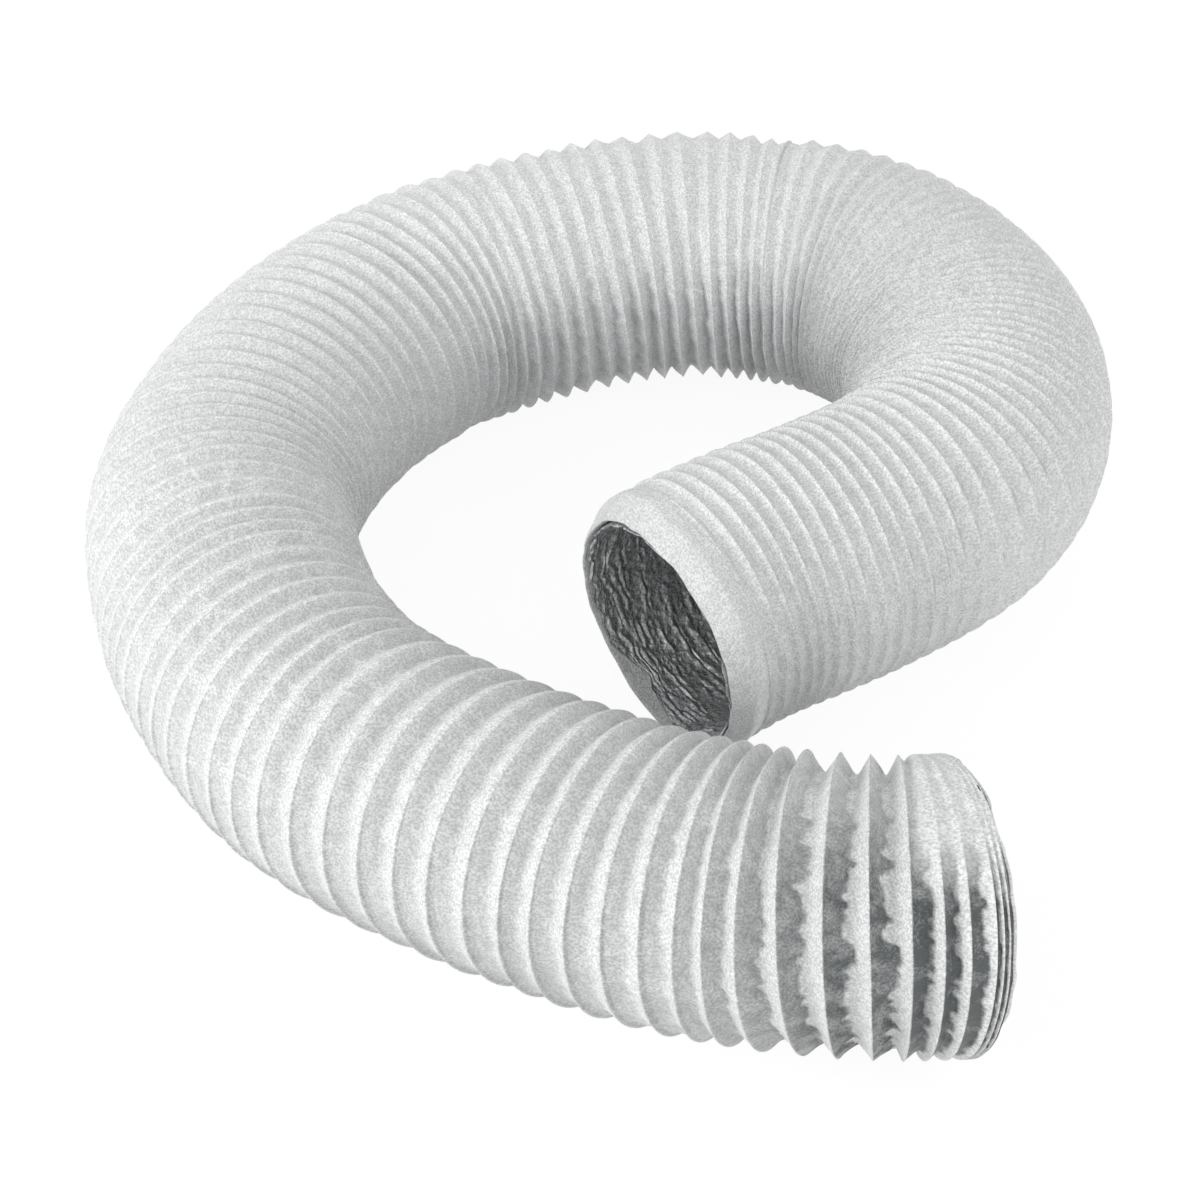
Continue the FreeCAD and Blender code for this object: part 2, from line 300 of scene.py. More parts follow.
def noise(rows, turns, around, seed):
    """Smooth noise: values of a random lattice, blended between its corners with a smooth step. Rows counts cells
    along the hose and turns runs from 0 to 1 round it, where there are as many cells as around says. Each use has a
    seed of its own."""
    grid = lattice(LATTICE_ROWS, around, seed)
    row, column = np.broadcast_arrays(rows, np.mod(turns, 1.0) * around)
    r0, c0 = np.floor(row).astype(int), np.floor(column).astype(int)
    fr, fc = row - r0, column - c0
    fr, fc = fr * fr * (3 - 2 * fr), fc * fc * (3 - 2 * fc)
    r0, r1 = r0 % LATTICE_ROWS, (r0 + 1) % LATTICE_ROWS
    c0, c1 = c0 % around, (c0 + 1) % around
    near = grid[r0, c0] * (1 - fc) + grid[r0, c1] * fc
    far = grid[r1, c0] * (1 - fc) + grid[r1, c1] * fc
    return near * (1 - fr) + far * fr


def creases(rows, turns, around, seed):
    """Sharp lines where smooth noise changes sign: 1 on a line, falling to 0 beside it."""
    return 1 - np.clip(np.abs(noise(rows, turns, around, seed)) * 2.5, 0, 1)


# Surfaces


def wind(turns):
    """How far a rib has climbed, in ribs, at a share of a turn from the top: the ribs are one spiral, and the whole
    rib it gains in a turn is given back under the hose, on the last twentieth of a turn on each side, as a square."""
    side = np.mod(turns + 0.5, 1.0) - 0.5
    return side - 0.5 * np.sign(side) * np.clip((np.abs(side) - 0.45) / 0.05, 0, 1) ** 2


def rows_between(route, start, end, fine, fewest):
    """Rib numbers of the rows of a length of hose. Each rib has an even number of rows, about a row every fine
    metres, and a sine draws them together at the wires. There is a row on each wire."""
    first, last = route.rib_at(start), route.rib_at(end)
    rows = [np.array([first, last])]
    for rib in range(int(np.floor(first)), int(np.ceil(last))):
        count = 2 * max(fewest, int(round(float(route.spacing_at(rib + 0.5)) / fine / 2)))
        even = np.arange(count) / count
        rows.append(rib + even - GATHER * np.sin(2 * np.pi * even))
    rows = np.unique(np.concatenate(rows))
    near_end = np.minimum(np.abs(rows - first), np.abs(rows - last)) < END_GAP
    inside = (rows > first) & (rows < last) & ~near_end
    return np.concatenate([[first], rows[inside], [last]])


def place(route, distance, turns, radius):
    """Points on a circle carried along the route, with its top and side pushed ahead as the tables say. Turns count
    from the top towards the right of travel. What would be under the floor is pressed flat on it."""
    x, y, heading = route.at(distance)
    angle = 2 * np.pi * turns
    across, upwards = radius * np.sin(angle), radius * np.cos(angle)
    ahead = (along(TOP_AHEAD, distance) * upwards + along(SIDE_AHEAD, distance) * across) / RIB_RADIUS
    points = np.stack(
        [
            x + across * np.sin(heading) + ahead * np.cos(heading),
            y - across * np.cos(heading) + ahead * np.sin(heading),
            route.height + upwards,
        ],
        axis=-1,
    )
    points[..., 2] = np.maximum(points[..., 2], 0.0)
    return points


def straight(distance, turns, radius):
    """Points of the hose as if it were straight, for the textures."""
    distance, turns, radius = np.broadcast_arrays(distance, turns, radius)
    return np.stack([distance, radius * np.cos(2 * np.pi * turns), radius * np.sin(2 * np.pi * turns)], axis=-1)


def part(distance, where):
    """1 along a part of the hose and 0 outside it, rising and falling in straight lines as its four numbers say."""
    start, sets_in, end, fades = np.array(where) * MM
    return np.clip((distance - start) / sets_in, 0, 1) * np.clip((end - distance) / fades, 0, 1)


class Film:
    """What the shape and the colours of the film both start from, as whole arrays over a grid of ribs and turns.

    Share runs from 0 at a wire to 1 at the next. Upwards is 1 at the top, and outer is 1 on the outer side of the
    loop. Ragged, coarse and fold are noise, and loose is how easily the film moves. Level is the even side of the back
    run, from a tenth of a turn outside the top to a fifth inside it, low the part under it, and shoulder the smooth
    top and inner side behind the front rim."""

    def __init__(self, route, ribs, turns):
        plain = route.distance_of(ribs)
        fade = np.clip(plain / (30 * MM), 0, 1) * np.clip((route.length - plain) / (40 * MM), 0, 1)
        wound = ribs + wind(turns) * fade
        self.ribs, self.turns = ribs, turns
        self.distance, self.spacing = route.distance_of(wound), route.spacing_at(wound)
        self.share = np.mod(ribs, 1.0)
        self.fall, self.rise = along(FALL, self.distance), along(RISE, self.distance)
        self.upwards, self.outer = np.cos(2 * np.pi * turns), -np.sin(2 * np.pi * turns)
        self.crumple = along(CRUMPLE, self.distance)
        self.loose = np.clip(self.rise / 0.5, 0.2, 1)
        self.ragged = noise(ribs * 1.0, turns, 64, 11) + 0.5 * noise(ribs * 1.7 + 3, turns, 130, 17)
        self.coarse = noise(ribs * 0.9 + 7, turns, 18, 12)
        self.fold = creases(ribs * 1.9, turns, 46, 13) * creases(ribs * 0.7 + 5, turns, 24, 14)
        back, side = part(self.distance, BACK_PART), np.mod(turns + 0.5, 1.0) - 0.5
        self.level = back * np.clip((side + 0.11) / 0.05, 0, 1) * np.clip((0.22 - side) / 0.09, 0, 1)
        self.low = back * np.clip((side - 0.12) / 0.1, 0, 1)
        shoulder = np.clip(1.3 - 2.2 * self.outer, 0, 1) * np.clip(2 * self.upwards + 0.2, 0, 1)
        self.shoulder = shoulder * np.clip((26 * MM - self.distance) / (5 * MM), 0, 1)


def hang_of(film):
    """How far the film hangs in, from 0 at a wire to 1. From a wire it falls in a curve over the first share of a rib,
    lies level, and rises in a straight line over the last share. On the top of the drawn-out run it hangs in a
    raised cosine instead."""
    falling, rising = np.clip(film.share / film.fall, 0, 1), np.clip((1 - film.share) / film.rise, 0, 1)
    plump = np.clip(1.5 * film.upwards - 0.2, 0, 1) * part(film.distance, PLUMP_PART)
    hang = (1 - (1 - falling) ** 1.2) * rising
    return hang + plump * ((0.5 - 0.5 * np.cos(2 * np.pi * film.share)) ** 1.5 - hang)


def depth_of(film, route, sizes):
    """How deep the film hangs at most: the rib height, less on the outside of a bend, where it is pulled tight, on the
    level side and on the shoulder. Noise deepens it in places."""
    bend = np.interp(film.distance, route.distance, route.curve) * sizes.rib_radius
    tight = np.clip(1 - 1.2 * bend * film.outer, 0.7, 1.15) * (1 - 0.6 * film.level)
    varied = 1 + film.crumple * (0.20 * film.coarse + 0.15 * film.ragged * film.loose)
    return along(HEIGHT, film.distance) * MM * tight * varied * (1 - 0.9 * film.shoulder)


def painted_valley_shade_of(film):
    """Mask of painted shade: 1 in the valleys and 0 on the white film painted as lit, which reaches a ragged way past
    a wire and a short way before it.
    """
    white = along(PAINTED_LIGHT_SHARE, film.distance) * (1 + 0.35 * film.crumple * film.ragged)
    before = along(PAINTED_LIGHT_SHARE_BEFORE, film.distance)
    soft = np.interp(film.distance, (70 * MM, 140 * MM), (0.08, 0.3))
    return np.clip((film.share - white) / soft, 0, 1) * np.clip((1 - film.share) / before, 0, 1) ** 2


def painted_dark_shade_of(film, painted_valley_shade):
    """Painted dark shade, from 0 to 1.2: shade in the valleys by the table, more near the front end on the outer side;
    painted shadow on the steep rise to the next wire, in a narrow line low on the back run, and in broken dashes, as
    fold shadows, on the outer side of the right run."""
    distance, share, outer = film.distance, film.share, film.outer
    near_front = np.clip((118 * MM - distance) / (75 * MM), 0, 1) * np.clip(0.55 + 0.9 * outer, 0, 1)
    near_front = near_front * np.interp(distance, (22 * MM, 32 * MM), (1.2, 1.0))
    dark_amount = along(PAINTED_DARK_AMOUNT, distance)
    steep = 2.4 * dark_amount * np.clip((share - 1 + 0.75 * film.rise) / 0.03, 0, 1) * np.clip(0.5 + 0.7 * outer, 0.15, 1)
    narrow = 0.24 * film.low * np.clip(1 - np.abs(share - 0.52 - 0.1 * film.ragged) / 0.16, 0, 1)
    painted_dark_shade = np.maximum(np.maximum(near_front, steep), np.maximum(dark_amount, narrow))
    dash = np.clip((distance - 960 * MM) / (50 * MM), 0, 1) * np.clip(1.6 * outer - 0.3, 0, 1)
    dash = dash * np.clip(2.4 * noise(film.ribs * 1.0 + 23, film.turns, 50, 28) - 0.2, 0, 1)
    dash = 0.4 * dash * np.clip(1 - np.abs(share - 0.8 + 0.05 * film.ragged) / 0.16, 0, 1)
    return np.maximum(painted_valley_shade * (1 - film.shoulder) * painted_dark_shade, dash)


def painted_light_and_shade_of(film, painted_valley_shade):
    """How much painted shade the film gets, from 0 to 1: the valleys, paler on creases as a painted highlight, paler
    in patches at the left as a painted gloss, and paler on the level side of the back run and on the inner side where
    the hose turns at the right, as if more light fell there."""
    patches = np.clip(5 * noise(film.ribs * 1.3 + 31, film.turns, 66, 29) - 1.7, 0, 1)
    painted_gloss = part(film.distance, PAINTED_GLOSS_PART) * patches
    inner = part(film.distance, RIGHT_PART) * np.clip(0.3 - film.outer, 0, 1)
    return painted_valley_shade * (1 - 0.8 * film.crumple * film.fold) * (1 - painted_gloss) * (1 - 0.7 * np.maximum(film.level, inner))


def sheath_surface(route, sizes, ribs, turns):
    """Outside of the film: the rib radius, less the depth times the hang, with creases and dents that fade to nothing
    at the wires. Noise makes the ribs uneven, bends the hose out of round and shifts the hanging film along it. The
    lap seam is a shallow dip, the film steps down under the mouth's fold, and it stays above the hidden wall and
    further out behind the front fold."""
    film = Film(route, ribs, turns)
    distance, hang = film.distance, hang_of(film)
    small = noise(ribs * 3.1, turns, 150, 15)
    drift = noise(ribs * 0.8 + 11, turns, 5, 18)
    shift = 0.10 * hang * film.loose * (film.ragged + 0.8 * film.coarse) + 0.05 * drift
    uneven = along(UNEVEN, distance) * MM * np.maximum(0, noise(ribs * 0.8 + 17, turns, 9, 20))
    radius = sizes.rib_radius - uneven - depth_of(film, route, sizes) * hang
    radius = radius + film.crumple * hang * (0.9 * film.fold + 0.35 * small) * MM
    radius = radius + 0.4 * MM * noise(distance / (55 * MM), turns, 5, 16)
    seam = np.exp(-(((distance - sizes.seam_place) / (0.9 * MM)) ** 2))
    under_fold = np.clip((distance - route.length + 24 * MM) / (12 * MM), 0, 1)
    lowest = sizes.wall_radius + 0.4 * MM + 9 * MM * np.clip(1 - distance / (13 * MM), 0, 1)
    radius = np.maximum(radius - 0.9 * MM * seam - 3 * MM * under_fold, lowest)
    points = place(route, distance + film.crumple * film.spacing * shift, turns, radius)
    # Masks of painted shade and painted light for the film's colour.
    painted_valley_shade = painted_valley_shade_of(film)
    painted_dark_shade = painted_dark_shade_of(film, painted_valley_shade)
    return points, straight(distance, turns, radius), {"painted_valley_shade": painted_light_and_shade_of(film, painted_valley_shade), "seam": seam, "painted_dark_shade": painted_dark_shade}


def set_in(route, distance, turns):
    """How far the film's hidden side lies back along the hose: less than nothing at the front rim, so that its end
    slopes in behind the fold, and fading away exponentially. It takes the same values as torn_back."""
    return -13 * MM * np.exp(-distance / (25 * MM)) + 0 * turns


def torn_back(route, distance, turns):
    """How far the foil's edge at the mouth is torn back: further under the hose and ragged all round, fading away
    inside the hose."""
    torn = 1.6 + 9.0 * np.exp(-(((turns - 0.46) / 0.055) ** 2))
    torn = torn + 1.3 * noise(2 + 0 * distance, turns, 70, 26) + 0.9 * noise(5 + 0 * distance, turns, 27, 27)
    return torn * MM * np.exp(-(route.length - distance) / (9 * MM))


def liner_surface(route, sizes, ribs, turns):
    """Inside of the foil: low pointed rings that wander, break off and start again, with creases across them."""
    distance = route.distance_of(ribs)
    phase = distance / FOIL_RING + 0.8 * noise(distance / (14 * MM), turns, 11, 21)
    phase = phase + 0.5 * noise(distance / (4 * MM) + 9, turns, 52, 25)
    ring = 1 - np.abs(2 * np.mod(phase, 1.0) - 1)
    whole = np.clip(0.5 + 1.1 * noise(distance / (4 * MM), turns, 38, 22), 0.05, 1)
    crinkle = creases(distance / (5 * MM), turns, 90, 23)
    radius = sizes.foil_radius - 0.9 * MM * ring * whole + 0.4 * MM * crinkle
    radius = radius + 0.6 * MM * noise(distance / (18 * MM), turns, 9, 24)
    points = place(route, distance - torn_back(route, distance, turns), turns, radius)
    # Painted glints along the tops of the foil's rings.
    return points, straight(distance, turns, radius), {"painted_glint": ring ** 3 * whole}


def normals_of(points):
    """Unit normals of a grid of points that closes on itself in its second direction: the cross product of the
    differences between neighbours."""
    along_rows = np.gradient(points, axis=0)
    round_rows = np.roll(points, -1, axis=1) - np.roll(points, 1, axis=1)
    normal = np.cross(round_rows, along_rows)
    return normal / np.maximum(np.linalg.norm(normal, axis=-1, keepdims=True), 1e-12)


def shell_mesh(name, shown, hidden, shown_normals, hidden_normals, skin, extras, outwards):
    """A closed tube wall from two grids of points: the shown side and the plain hidden side, joined at both ends. The
    skin and the extras are kept on the points for the materials, and the hidden side repeats their last row."""
    grid = np.concatenate([shown, hidden[::-1]])
    normals = np.concatenate([shown_normals, hidden_normals[::-1]])
    rows, columns = grid.shape[:2]
    index = np.arange(rows * columns).reshape(rows, columns)
    below, beside = np.roll(index, -1, axis=0), np.roll(index, -1, axis=1)
    corner = np.roll(below, -1, axis=1)
    faces = np.stack([index, beside, corner, below], axis=-1).reshape(-1, 4)
    if not outwards:
        faces = faces[:, ::-1]
    mesh = bpy.data.meshes.new(name)
    mesh.vertices.add(rows * columns)
    mesh.vertices.foreach_set("co", grid.astype(np.float32).ravel())
    mesh.loops.add(faces.size)
    mesh.loops.foreach_set("vertex_index", faces.astype(np.int32).ravel())
    mesh.polygons.add(len(faces))
    mesh.polygons.foreach_set("loop_start", np.arange(0, faces.size, 4, dtype=np.int32))
    mesh.update(calc_edges=True)
    mesh.polygons.foreach_set("use_smooth", np.ones(len(faces), bool))
    skin = np.concatenate([skin, np.repeat(skin[-1:], len(hidden), axis=0)])
    mesh.attributes.new("skin", "FLOAT_VECTOR", "POINT").data.foreach_set("vector", skin.astype(np.float32).ravel())
    for key, value in extras.items():
        value = np.broadcast_to(value, shown.shape[:2])
        value = np.concatenate([value, np.repeat(value[-1:], len(hidden), axis=0)])
        mesh.attributes.new(key, "FLOAT", "POINT").data.foreach_set("value", value.astype(np.float32).ravel())
    mesh.normals_split_custom_set_from_vertices(normals.reshape(-1, 3).tolist())
    piece = bpy.data.objects.new(name, mesh)
    bpy.context.scene.collection.objects.link(piece)
    return piece


def tube_piece(name, route, surface, sizes, start, end, fine, fewest, columns, hidden_radius, outwards, edge=None):
    """One length of hose wall: the shown surface in fine rows and a plain hidden surface in coarse rows. One more row
    past each end gives the normals there, so that two lengths meet without a line. Edge gives how far back the
    hidden surface lies along the hose."""
    ribs = rows_between(route, start, end, fine, fewest)
    first, last = 2 * ribs[0] - ribs[1], 2 * ribs[-1] - ribs[-2]
    wide = np.concatenate([[first], ribs, [last]])[:, None]
    turns = (np.arange(columns) / columns)[None, :]
    points, skin, extras = surface(route, sizes, wide + 0 * turns, turns + 0 * wide)
    sign = 1 if outwards else -1
    normals = sign * normals_of(points)[1:-1]
    shown, skin = points[1:-1], skin[1:-1]
    extras = {key: value[1:-1] for key, value in extras.items()}
    coarse = np.linspace(start, end, max(2, int((end - start) / HIDDEN_ROW)))[:, None] + 0 * turns
    back = edge(route, coarse, turns) if edge else 0.0
    hidden = place(route, coarse - back, turns + 0 * coarse, hidden_radius)
    hidden_normals = -sign * normals_of(hidden)
    return shell_mesh(name, shown, hidden, normals, hidden_normals, skin, extras, outwards)


# Materials


def node_group(name, outputs, inputs):
    """An empty shader node group with named sockets."""
    group = bpy.data.node_groups.new(name, "ShaderNodeTree")
    for label, kind, value in inputs:
        socket = group.interface.new_socket(label, in_out="INPUT", socket_type=kind)
        socket.default_value = value
    for label, kind in outputs:
        group.interface.new_socket(label, in_out="OUTPUT", socket_type=kind)
    return group, group.nodes.new("NodeGroupInput"), group.nodes.new("NodeGroupOutput")


def fill_in(node, values):
    """Set a node's named inputs and hand the node back."""
    for label, value in values.items():
        node.inputs[label].default_value = value
    return node


def maths(tree, operation, first, second=None, third=None):
    """A math node with a link or a number on each input that it uses."""
    node = tree.nodes.new("ShaderNodeMath")
    node.operation = operation
    for socket, value in zip(node.inputs, (first, second, third)):
        if isinstance(value, bpy.types.NodeSocket):
            tree.links.new(value, socket)
        elif value is not None:
            socket.default_value = value
    return node.outputs[0]


def crinkle_group():
    """Creases and grain of thin sheet on the hose's own skin: the distance from the middles of warped cells plus fine
    noise, as one height. Blotch is the slow noise that warps the cells, and grain the fine one."""
    group, into, out = node_group(
        "Crinkled Sheet",
        [("Height", "NodeSocketFloat"), ("Blotch", "NodeSocketFloat"), ("Grain", "NodeSocketFloat")],
        [
            ("Vector", "NodeSocketVector", (0, 0, 0)),
            ("Crease Size", "NodeSocketFloat", 160.0),
            ("Grain Size", "NodeSocketFloat", 900.0),
            ("Grain Share", "NodeSocketFloat", 0.3),
        ],
    )
    links = group.links
    warp = fill_in(group.nodes.new("ShaderNodeTexNoise"), {"Scale": 140.0})
    links.new(into.outputs["Vector"], warp.inputs["Vector"])
    shift = group.nodes.new("ShaderNodeVectorMath")
    shift.operation = "MULTIPLY_ADD"
    shift.inputs[1].default_value = (0.006, 0.006, 0.006)
    links.new(warp.outputs["Color"], shift.inputs[0])
    links.new(into.outputs["Vector"], shift.inputs[2])
    cells = group.nodes.new("ShaderNodeTexVoronoi")
    cells.feature = "F1"
    links.new(shift.outputs[0], cells.inputs["Vector"])
    links.new(into.outputs["Crease Size"], cells.inputs["Scale"])
    grain = fill_in(group.nodes.new("ShaderNodeTexNoise"), {"Detail": 3.0})
    links.new(into.outputs["Vector"], grain.inputs["Vector"])
    links.new(into.outputs["Grain Size"], grain.inputs["Scale"])
    fine = maths(group, "MULTIPLY", grain.outputs["Fac"], into.outputs["Grain Share"])
    links.new(maths(group, "ADD", cells.outputs["Distance"], fine), out.inputs["Height"])
    links.new(warp.outputs["Fac"], out.inputs["Blotch"])
    links.new(grain.outputs["Fac"], out.inputs["Grain"])
    return group


def attribute(tree, name):
    """The piece's own attribute in a material."""
    node = tree.nodes.new("ShaderNodeAttribute")
    node.attribute_name = name
    return node


def material(name, base, roughness, metallic=0.0):
    """A new material with a Principled surface, and its tree and shader node."""
    made = bpy.data.materials.new(name)
    made.use_nodes = True
    tree = made.node_tree
    shader = tree.nodes["Principled BSDF"]
    fill_in(shader, {"Base Color": (*base, 1.0), "Roughness": roughness, "Metallic": metallic})
    made.diffuse_color = (*base, 1.0)
    return made, tree, shader


def crinkle_into(tree, group, shader, crease, grain, share, strength, depth):
    """Place the sheet group in a material, drive the bump with it and hand back its node."""
    sheet = tree.nodes.new("ShaderNodeGroup")
    sheet.node_tree = group
    fill_in(sheet, {"Crease Size": crease, "Grain Size": grain, "Grain Share": share})
    tree.links.new(attribute(tree, "skin").outputs["Vector"], sheet.inputs["Vector"])
    bump = fill_in(tree.nodes.new("ShaderNodeBump"), {"Strength": strength, "Distance": depth})
    tree.links.new(sheet.outputs["Height"], bump.inputs["Height"])
    tree.links.new(bump.outputs["Normal"], shader.inputs["Normal"])
    return sheet


def mix_colours(tree, amount, first, second):
    """A colour between two, by a link from 0 to 1. Each is a link or a colour. A mix node keeps its colours on inputs
    6 and 7 and on output 2."""
    node = tree.nodes.new("ShaderNodeMix")
    node.data_type = "RGBA"
    tree.links.new(amount, node.inputs["Factor"])
    for socket, value in ((node.inputs[6], first), (node.inputs[7], second)):
        if isinstance(value, bpy.types.NodeSocket):
            tree.links.new(value, socket)
        else:
            socket.default_value = (*value, 1.0)
    return node.outputs[2]


def shaded(colour, share):
    """A colour, darkened to a share of itself."""
    return tuple(share * value for value in colour)


def spread(tree, value, low, high, most):
    """A value stretched so that low becomes 0 and high becomes the most."""
    node = fill_in(tree.nodes.new("ShaderNodeMapRange"), {"From Min": low, "From Max": high, "To Max": most})
    tree.links.new(value, node.inputs["Value"])
    return node.outputs["Result"]


def film_material(colours):
    """White film, brightest over the wires and greyer in the valleys as painted light and shade, with fine creases,
    specks and patches and a soft shine. Painted dark shade lies in the deep valleys and along folds, and the lap seam
    is a grey line."""
    made, tree, shader = material("White Film", colours.film, 0.42)
    fill_in(shader, {"Specular IOR Level": 0.45})
    group = bpy.data.node_groups["Crinkled Sheet"]
    sheet = crinkle_into(tree, group, shader, crease=170.0, grain=1000.0, share=0.8, strength=0.8, depth=0.0009)
    # Painted light and shade: the ridge colour is painted light over the wires, and the film colour is painted shade
    # in the valleys.
    tone = mix_colours(tree, attribute(tree, "painted_valley_shade").outputs["Fac"], colours.ridge, colours.film)
    speck = spread(tree, sheet.outputs["Grain"], 0.40, 0.60, 0.7)
    tone = mix_colours(tree, speck, tone, shaded(colours.film, 0.6))
    patch = spread(tree, sheet.outputs["Blotch"], 0.42, 0.62, 0.16)
    tone = mix_colours(tree, patch, tone, shaded(colours.film, 0.62))
    mottle = spread(tree, sheet.outputs["Blotch"], 0.36, 0.62, 0.24)
    mottle = maths(tree, "ADD", mottle, spread(tree, sheet.outputs["Grain"], 0.32, 0.68, 0.24))
    # Painted dark shade: the deep valleys, steep rises and fold lines are darkened towards the dark shade colour.
    painted_dark_shade = maths(tree, "MULTIPLY", attribute(tree, "painted_dark_shade").outputs["Fac"], maths(tree, "ADD", mottle, 0.6))
    tone = mix_colours(tree, maths(tree, "MINIMUM", painted_dark_shade, 0.97), tone, colours.painted_dark_shade)
    seam = maths(tree, "MULTIPLY", attribute(tree, "seam").outputs["Fac"], 0.6)
    tree.links.new(mix_colours(tree, seam, tone, shaded(colours.film, 0.5)), shader.inputs["Base Color"])
    tree.links.new(maths(tree, "MULTIPLY_ADD", sheet.outputs["Blotch"], 0.25, 0.28), shader.inputs["Roughness"])
    return made


def foil_material(colours):
    """Dull crinkled metal foil, brighter along its rings as a painted glint, and darker in its specks."""
    made, tree, shader = material("Crinkled Foil", colours.foil, 0.5, 1.0)
    group = bpy.data.node_groups["Crinkled Sheet"]
    sheet = crinkle_into(tree, group, shader, crease=300.0, grain=900.0, share=0.6, strength=0.7, depth=0.0008)
    # Painted glint: the foil colour is made brighter along its rings.
    painted_glint = attribute(tree, "painted_glint").outputs["Fac"]
    bright = tuple(min(1.0, 1.3 * value) for value in colours.foil)
    tone = mix_colours(tree, painted_glint, colours.foil, bright)
    speck = spread(tree, sheet.outputs["Grain"], 0.4, 0.6, 0.6)
    tree.links.new(mix_colours(tree, speck, tone, shaded(colours.foil, 0.4)), shader.inputs["Base Color"])
    return made


def steel_material():
    """Plain drawn steel of the spring wire, with fine marks round the wire."""
    made, tree, shader = material("Drawn Wire", (0.55, 0.55, 0.56), 0.35, 1.0)
    marks = fill_in(tree.nodes.new("ShaderNodeTexNoise"), {"Scale": 900.0})
    where = tree.nodes.new("ShaderNodeTexCoord")
    tree.links.new(where.outputs["Object"], marks.inputs["Vector"])
    tree.links.new(maths(tree, "MULTIPLY_ADD", marks.outputs["Fac"], 0.3, 0.2), shader.inputs["Roughness"])
    return made


# Settings


class DuctSizes(bpy.types.PropertyGroup):
    """Sizes of the hose that a user would change."""

    rib_radius: FloatProperty(
        name="Rib radius", description="Radius over the ribs", default=RIB_RADIUS * MM, unit="LENGTH", precision=4
    )
    foil_radius: FloatProperty(
        name="Foil radius", description="Inside radius of the foil liner", default=0.0556, unit="LENGTH", precision=4
    )
    wall_radius: FloatProperty(
        name="Wall radius", description="Radius between film and foil", default=0.0565, unit="LENGTH", precision=4
    )
    row_spacing: FloatProperty(
        name="Row spacing", description="Distance between rows of the film", default=0.0008, unit="LENGTH", precision=5
    )
    columns: IntProperty(name="Columns", description="Points round the film", default=272, min=32)
    front_columns: IntProperty(
        name="Front columns", description="Points round the film at the front end", default=384, min=32
    )
    foil_columns: IntProperty(name="Foil columns", description="Points round the foil", default=240, min=32)
    wire_thickness: FloatProperty(
        name="Wire thickness", description="Thickness of the spring wire", default=0.0012, unit="LENGTH", precision=4
    )
    front_fold: FloatProperty(
        name="Front fold", description="Distance from the front rim to the film's first row", default=0.0008,
        unit="LENGTH", precision=4,
    )
    mouth_fold: FloatProperty(
        name="Mouth fold", description="Length of the plain band at the mouth", default=0.012, unit="LENGTH",
        precision=4,
    )
    seam_place: FloatProperty(
        name="Seam place", description="Distance from the front rim to the lap seam", default=0.831, unit="LENGTH"
    )


class DuctColours(bpy.types.PropertyGroup):
    """Colours of the hose."""

    # The film colour is also the painted shade in the valleys.
    film: FloatVectorProperty(
        name="Film", description="White film in the valleys", subtype="COLOR", default=(0.87, 0.885, 0.89)
    )
    # Colour of the painted dark shade in the valleys and of the painted fold shadows.
    painted_dark_shade: FloatVectorProperty(
        name="Painted dark shade", description="Dark shade painted into the valleys", subtype="COLOR", default=(0.09, 0.10, 0.10)
    )
    # The ridge colour is painted light over the wires and their lit side.
    ridge: FloatVectorProperty(
        name="Ridge", description="White film over the wires", subtype="COLOR", default=(0.98, 0.985, 0.985)
    )
    foil: FloatVectorProperty(name="Foil", description="Metal foil", subtype="COLOR", default=(0.78, 0.795, 0.80))


def settings():
    """Route, sizes and colours of the scene. The centre line is as high as the middle of a piece of liner."""
    low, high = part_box("liner_back_near_left")
    scene = bpy.context.scene
    return Route((low[2] + high[2]) / 2), scene.duct_sizes, scene.duct_colours


# Operators

# Each length of hose: name, first and last stretch with the share of it, and its one body, or the two bodies on either
# side of its joint.
LENGTHS = (
    ("front", ("front_turns", 0.0), ("front_middle", 0.5), ("front_middle", "front_end")),
    ("front_rise", ("front_middle", 0.5), ("front_root", 0.5), ("front_root", "front_middle")),
    ("front_curve", ("front_root", 0.5), ("left_run", 0.5), ("left_run", "front_root")),
    ("left_curve", ("left_run", 0.5), ("back_near_left", 1.0), ("back_run", "left_run")),
    ("right_curve", ("back_near_left", 1.0), ("right_run_back", 0.5), ("back_run", "right_run")),
    ("right_side", ("right_run_back", 0.5), ("right_run_side", 0.75), ("right_run",)),
    ("mouth", ("right_run_side", 0.75), ("mouth_end", 1.0), ("right_run", "mouth_end")),
)

# The joint in each length: its stretch, from the share that goes with the first body to the share that goes with the
# second.
BENDS = {
    "front": ("front_pull", 1.0, 0.0),
    "front_rise": ("front_lift", 0.97, 0.0),
    "front_curve": ("front_bend", 0.88, 0.12),
    "left_curve": ("left_bend", 0.88, 0.12),
    "right_curve": ("right_bend", 0.1, 0.85),
    "mouth": ("mouth_lift", 0.0, 1.0),
}


def nodes_of(route, prefix, start, end):
    """CAD nodes of one kind whose stretch begins inside a length of hose."""
    return [
        prefix + name
        for name, begins in zip(route.names, route.ends)
        if start - 1e-6 <= begins < end - 1e-6
    ]


def hang_on_bodies(piece, route, name, bodies):
    """Let a length follow its one body. For a length between two bodies, the ends of the joint's stretch are looked up
    but not used, and the length's transform is baked into its mesh.
    """
    if len(bodies) == 1:
        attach(piece, bodies[0])
        return
    stretch, from_share, to_share = BENDS[name]
    start, end = route.point(route.reach(stretch, from_share)), route.point(route.reach(stretch, to_share))
    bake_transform(piece)


